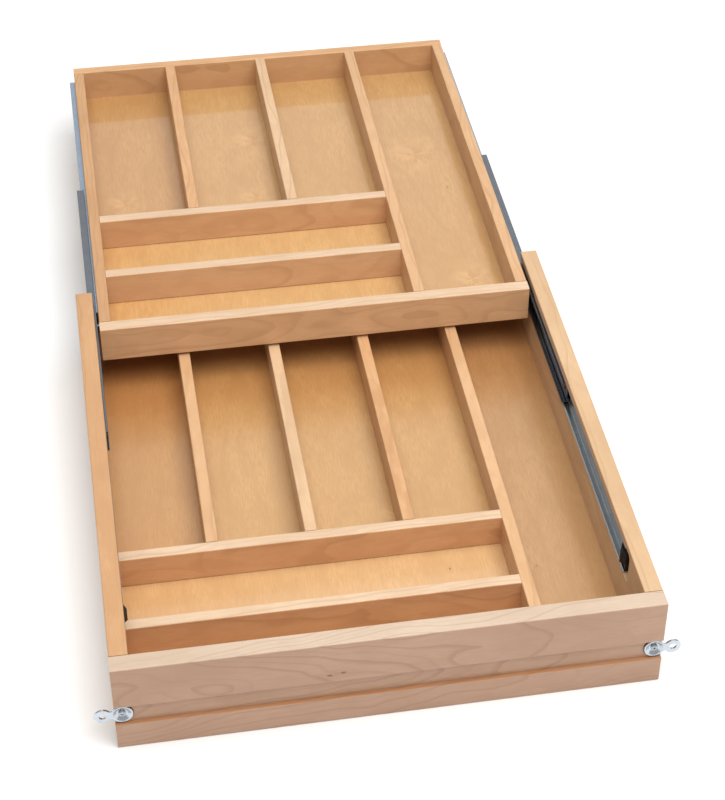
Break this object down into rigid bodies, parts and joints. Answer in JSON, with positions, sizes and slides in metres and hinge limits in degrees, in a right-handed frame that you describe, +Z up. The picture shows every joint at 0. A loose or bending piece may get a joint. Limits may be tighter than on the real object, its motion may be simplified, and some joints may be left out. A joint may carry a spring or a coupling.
{
  "type": "two-tier cutlery drawer organizer",
  "caption": "Wooden cutlery drawer box with low dividers and a shallower divided tray above it that slides back on ball-bearing slides set into the sides.",
  "frame": {"origin": "middle of the underside of the drawer box's front board", "axes": "+X to the right seen from the front, +Y from the front to the back, +Z up"},
  "size_m": [0.5576, 1.032, 0.105],
  "materials": {
    "maple": "clear satin lacquer",
    "maple_plywood": "clear satin lacquer",
    "beech_dowel": "raw",
    "brad_wire": "bright",
    "slide_steel": "dark zinc plate",
    "slide_zinc": "zinc plate",
    "cage_steel": "pressed sheet",
    "ball_steel": "polished",
    "black_plastic": "moulded",
    "screw_zinc": "bright zinc plate",
    "clip_zinc": "bright zinc plate"
  },
  "bodies": {
    "lower_box": {"lower_front_board": "maple", "lower_left_side": "maple", "lower_right_side": "maple", "lower_back_board": "maple", "lower_floor_panel": "maple_plywood", "lower_long_divider_1": "maple", "lower_long_divider_2": "maple", "lower_long_divider_3": "maple", "lower_long_divider_4": "maple", "lower_cross_divider_front": "maple", "lower_cross_divider_rear": "maple", "lower_corner_dowels": "beech_dowel", "lower_divider_brads": "brad_wire", "slide_outer_left": "slide_steel", "slide_outer_right": "slide_steel", "slide_bumper_left": "black_plastic", "slide_bumper_right": "black_plastic", "slide_box_screws": "screw_zinc", "clip_screw_left": "screw_zinc", "clip_screw_right": "screw_zinc"},
    "tray": {"tray_front_board": "maple", "tray_back_board": "maple", "tray_left_side": "maple", "tray_right_side": "maple", "tray_floor_panel": "maple_plywood", "tray_long_divider_1": "maple", "tray_long_divider_2": "maple", "tray_long_divider_3": "maple", "tray_cross_divider_front": "maple", "tray_cross_divider_rear": "maple", "tray_corner_dowels": "beech_dowel", "tray_divider_brads": "brad_wire", "slide_inner_left": "slide_zinc", "slide_inner_right": "slide_zinc", "slide_tray_screws": "screw_zinc"},
    "middle_member_left": {"slide_middle_left": "slide_zinc"},
    "outer_cage_left": {"outer_ball_cage_left": "cage_steel", "outer_balls_left": "ball_steel"},
    "inner_cage_left": {"inner_ball_cage_left": "cage_steel", "inner_balls_left": "ball_steel"},
    "clip_left": {"front_clip_left": "clip_zinc"},
    "middle_member_right": {"slide_middle_right": "slide_zinc"},
    "outer_cage_right": {"outer_ball_cage_right": "cage_steel", "outer_balls_right": "ball_steel"},
    "inner_cage_right": {"inner_ball_cage_right": "cage_steel", "inner_balls_right": "ball_steel"},
    "clip_right": {"front_clip_right": "clip_zinc"}
  },
  "joints": [
    {"name": "tray_slide", "type": "slide", "parent": "lower_box", "child": "tray", "axis": [0, 1, 0], "range_m": [-0.472, 0.028]},
    {"name": "middle_member_left_slide", "type": "slide", "parent": "lower_box", "child": "middle_member_left", "axis": [0, 1, 0], "range_m": [-0.237, 0.015]},
    {"name": "outer_cage_left_slide", "type": "slide", "parent": "lower_box", "child": "outer_cage_left", "axis": [0, 1, 0], "range_m": [-0.119, 0.008]},
    {"name": "inner_cage_left_slide", "type": "slide", "parent": "lower_box", "child": "inner_cage_left", "axis": [0, 1, 0], "range_m": [-0.355, 0.022]},
    {"name": "middle_member_right_slide", "type": "slide", "parent": "lower_box", "child": "middle_member_right", "axis": [0, 1, 0], "range_m": [-0.237, 0.015]},
    {"name": "outer_cage_right_slide", "type": "slide", "parent": "lower_box", "child": "outer_cage_right", "axis": [0, 1, 0], "range_m": [-0.119, 0.008]},
    {"name": "inner_cage_right_slide", "type": "slide", "parent": "lower_box", "child": "inner_cage_right", "axis": [0, 1, 0], "range_m": [-0.355, 0.022]},
    {"name": "clip_left_swivel", "type": "hinge", "parent": "lower_box", "child": "clip_left", "pos_m": [-0.2528, -0.0075, 0.0433], "axis": [0, 1, 0], "range_deg": [-30, 30]},
    {"name": "clip_right_swivel", "type": "hinge", "parent": "lower_box", "child": "clip_right", "pos_m": [0.2528, -0.0075, 0.0433], "axis": [0, 1, 0], "range_deg": [-30, 30]}
  ],
  "couplings": [
    {"joint": "middle_member_left_slide", "follows": "tray_slide", "ratio": 0.5},
    {"joint": "outer_cage_left_slide", "follows": "tray_slide", "ratio": 0.25},
    {"joint": "inner_cage_left_slide", "follows": "tray_slide", "ratio": 0.75},
    {"joint": "middle_member_right_slide", "follows": "tray_slide", "ratio": 0.5},
    {"joint": "outer_cage_right_slide", "follows": "tray_slide", "ratio": 0.25},
    {"joint": "inner_cage_right_slide", "follows": "tray_slide", "ratio": 0.75}
  ]
}
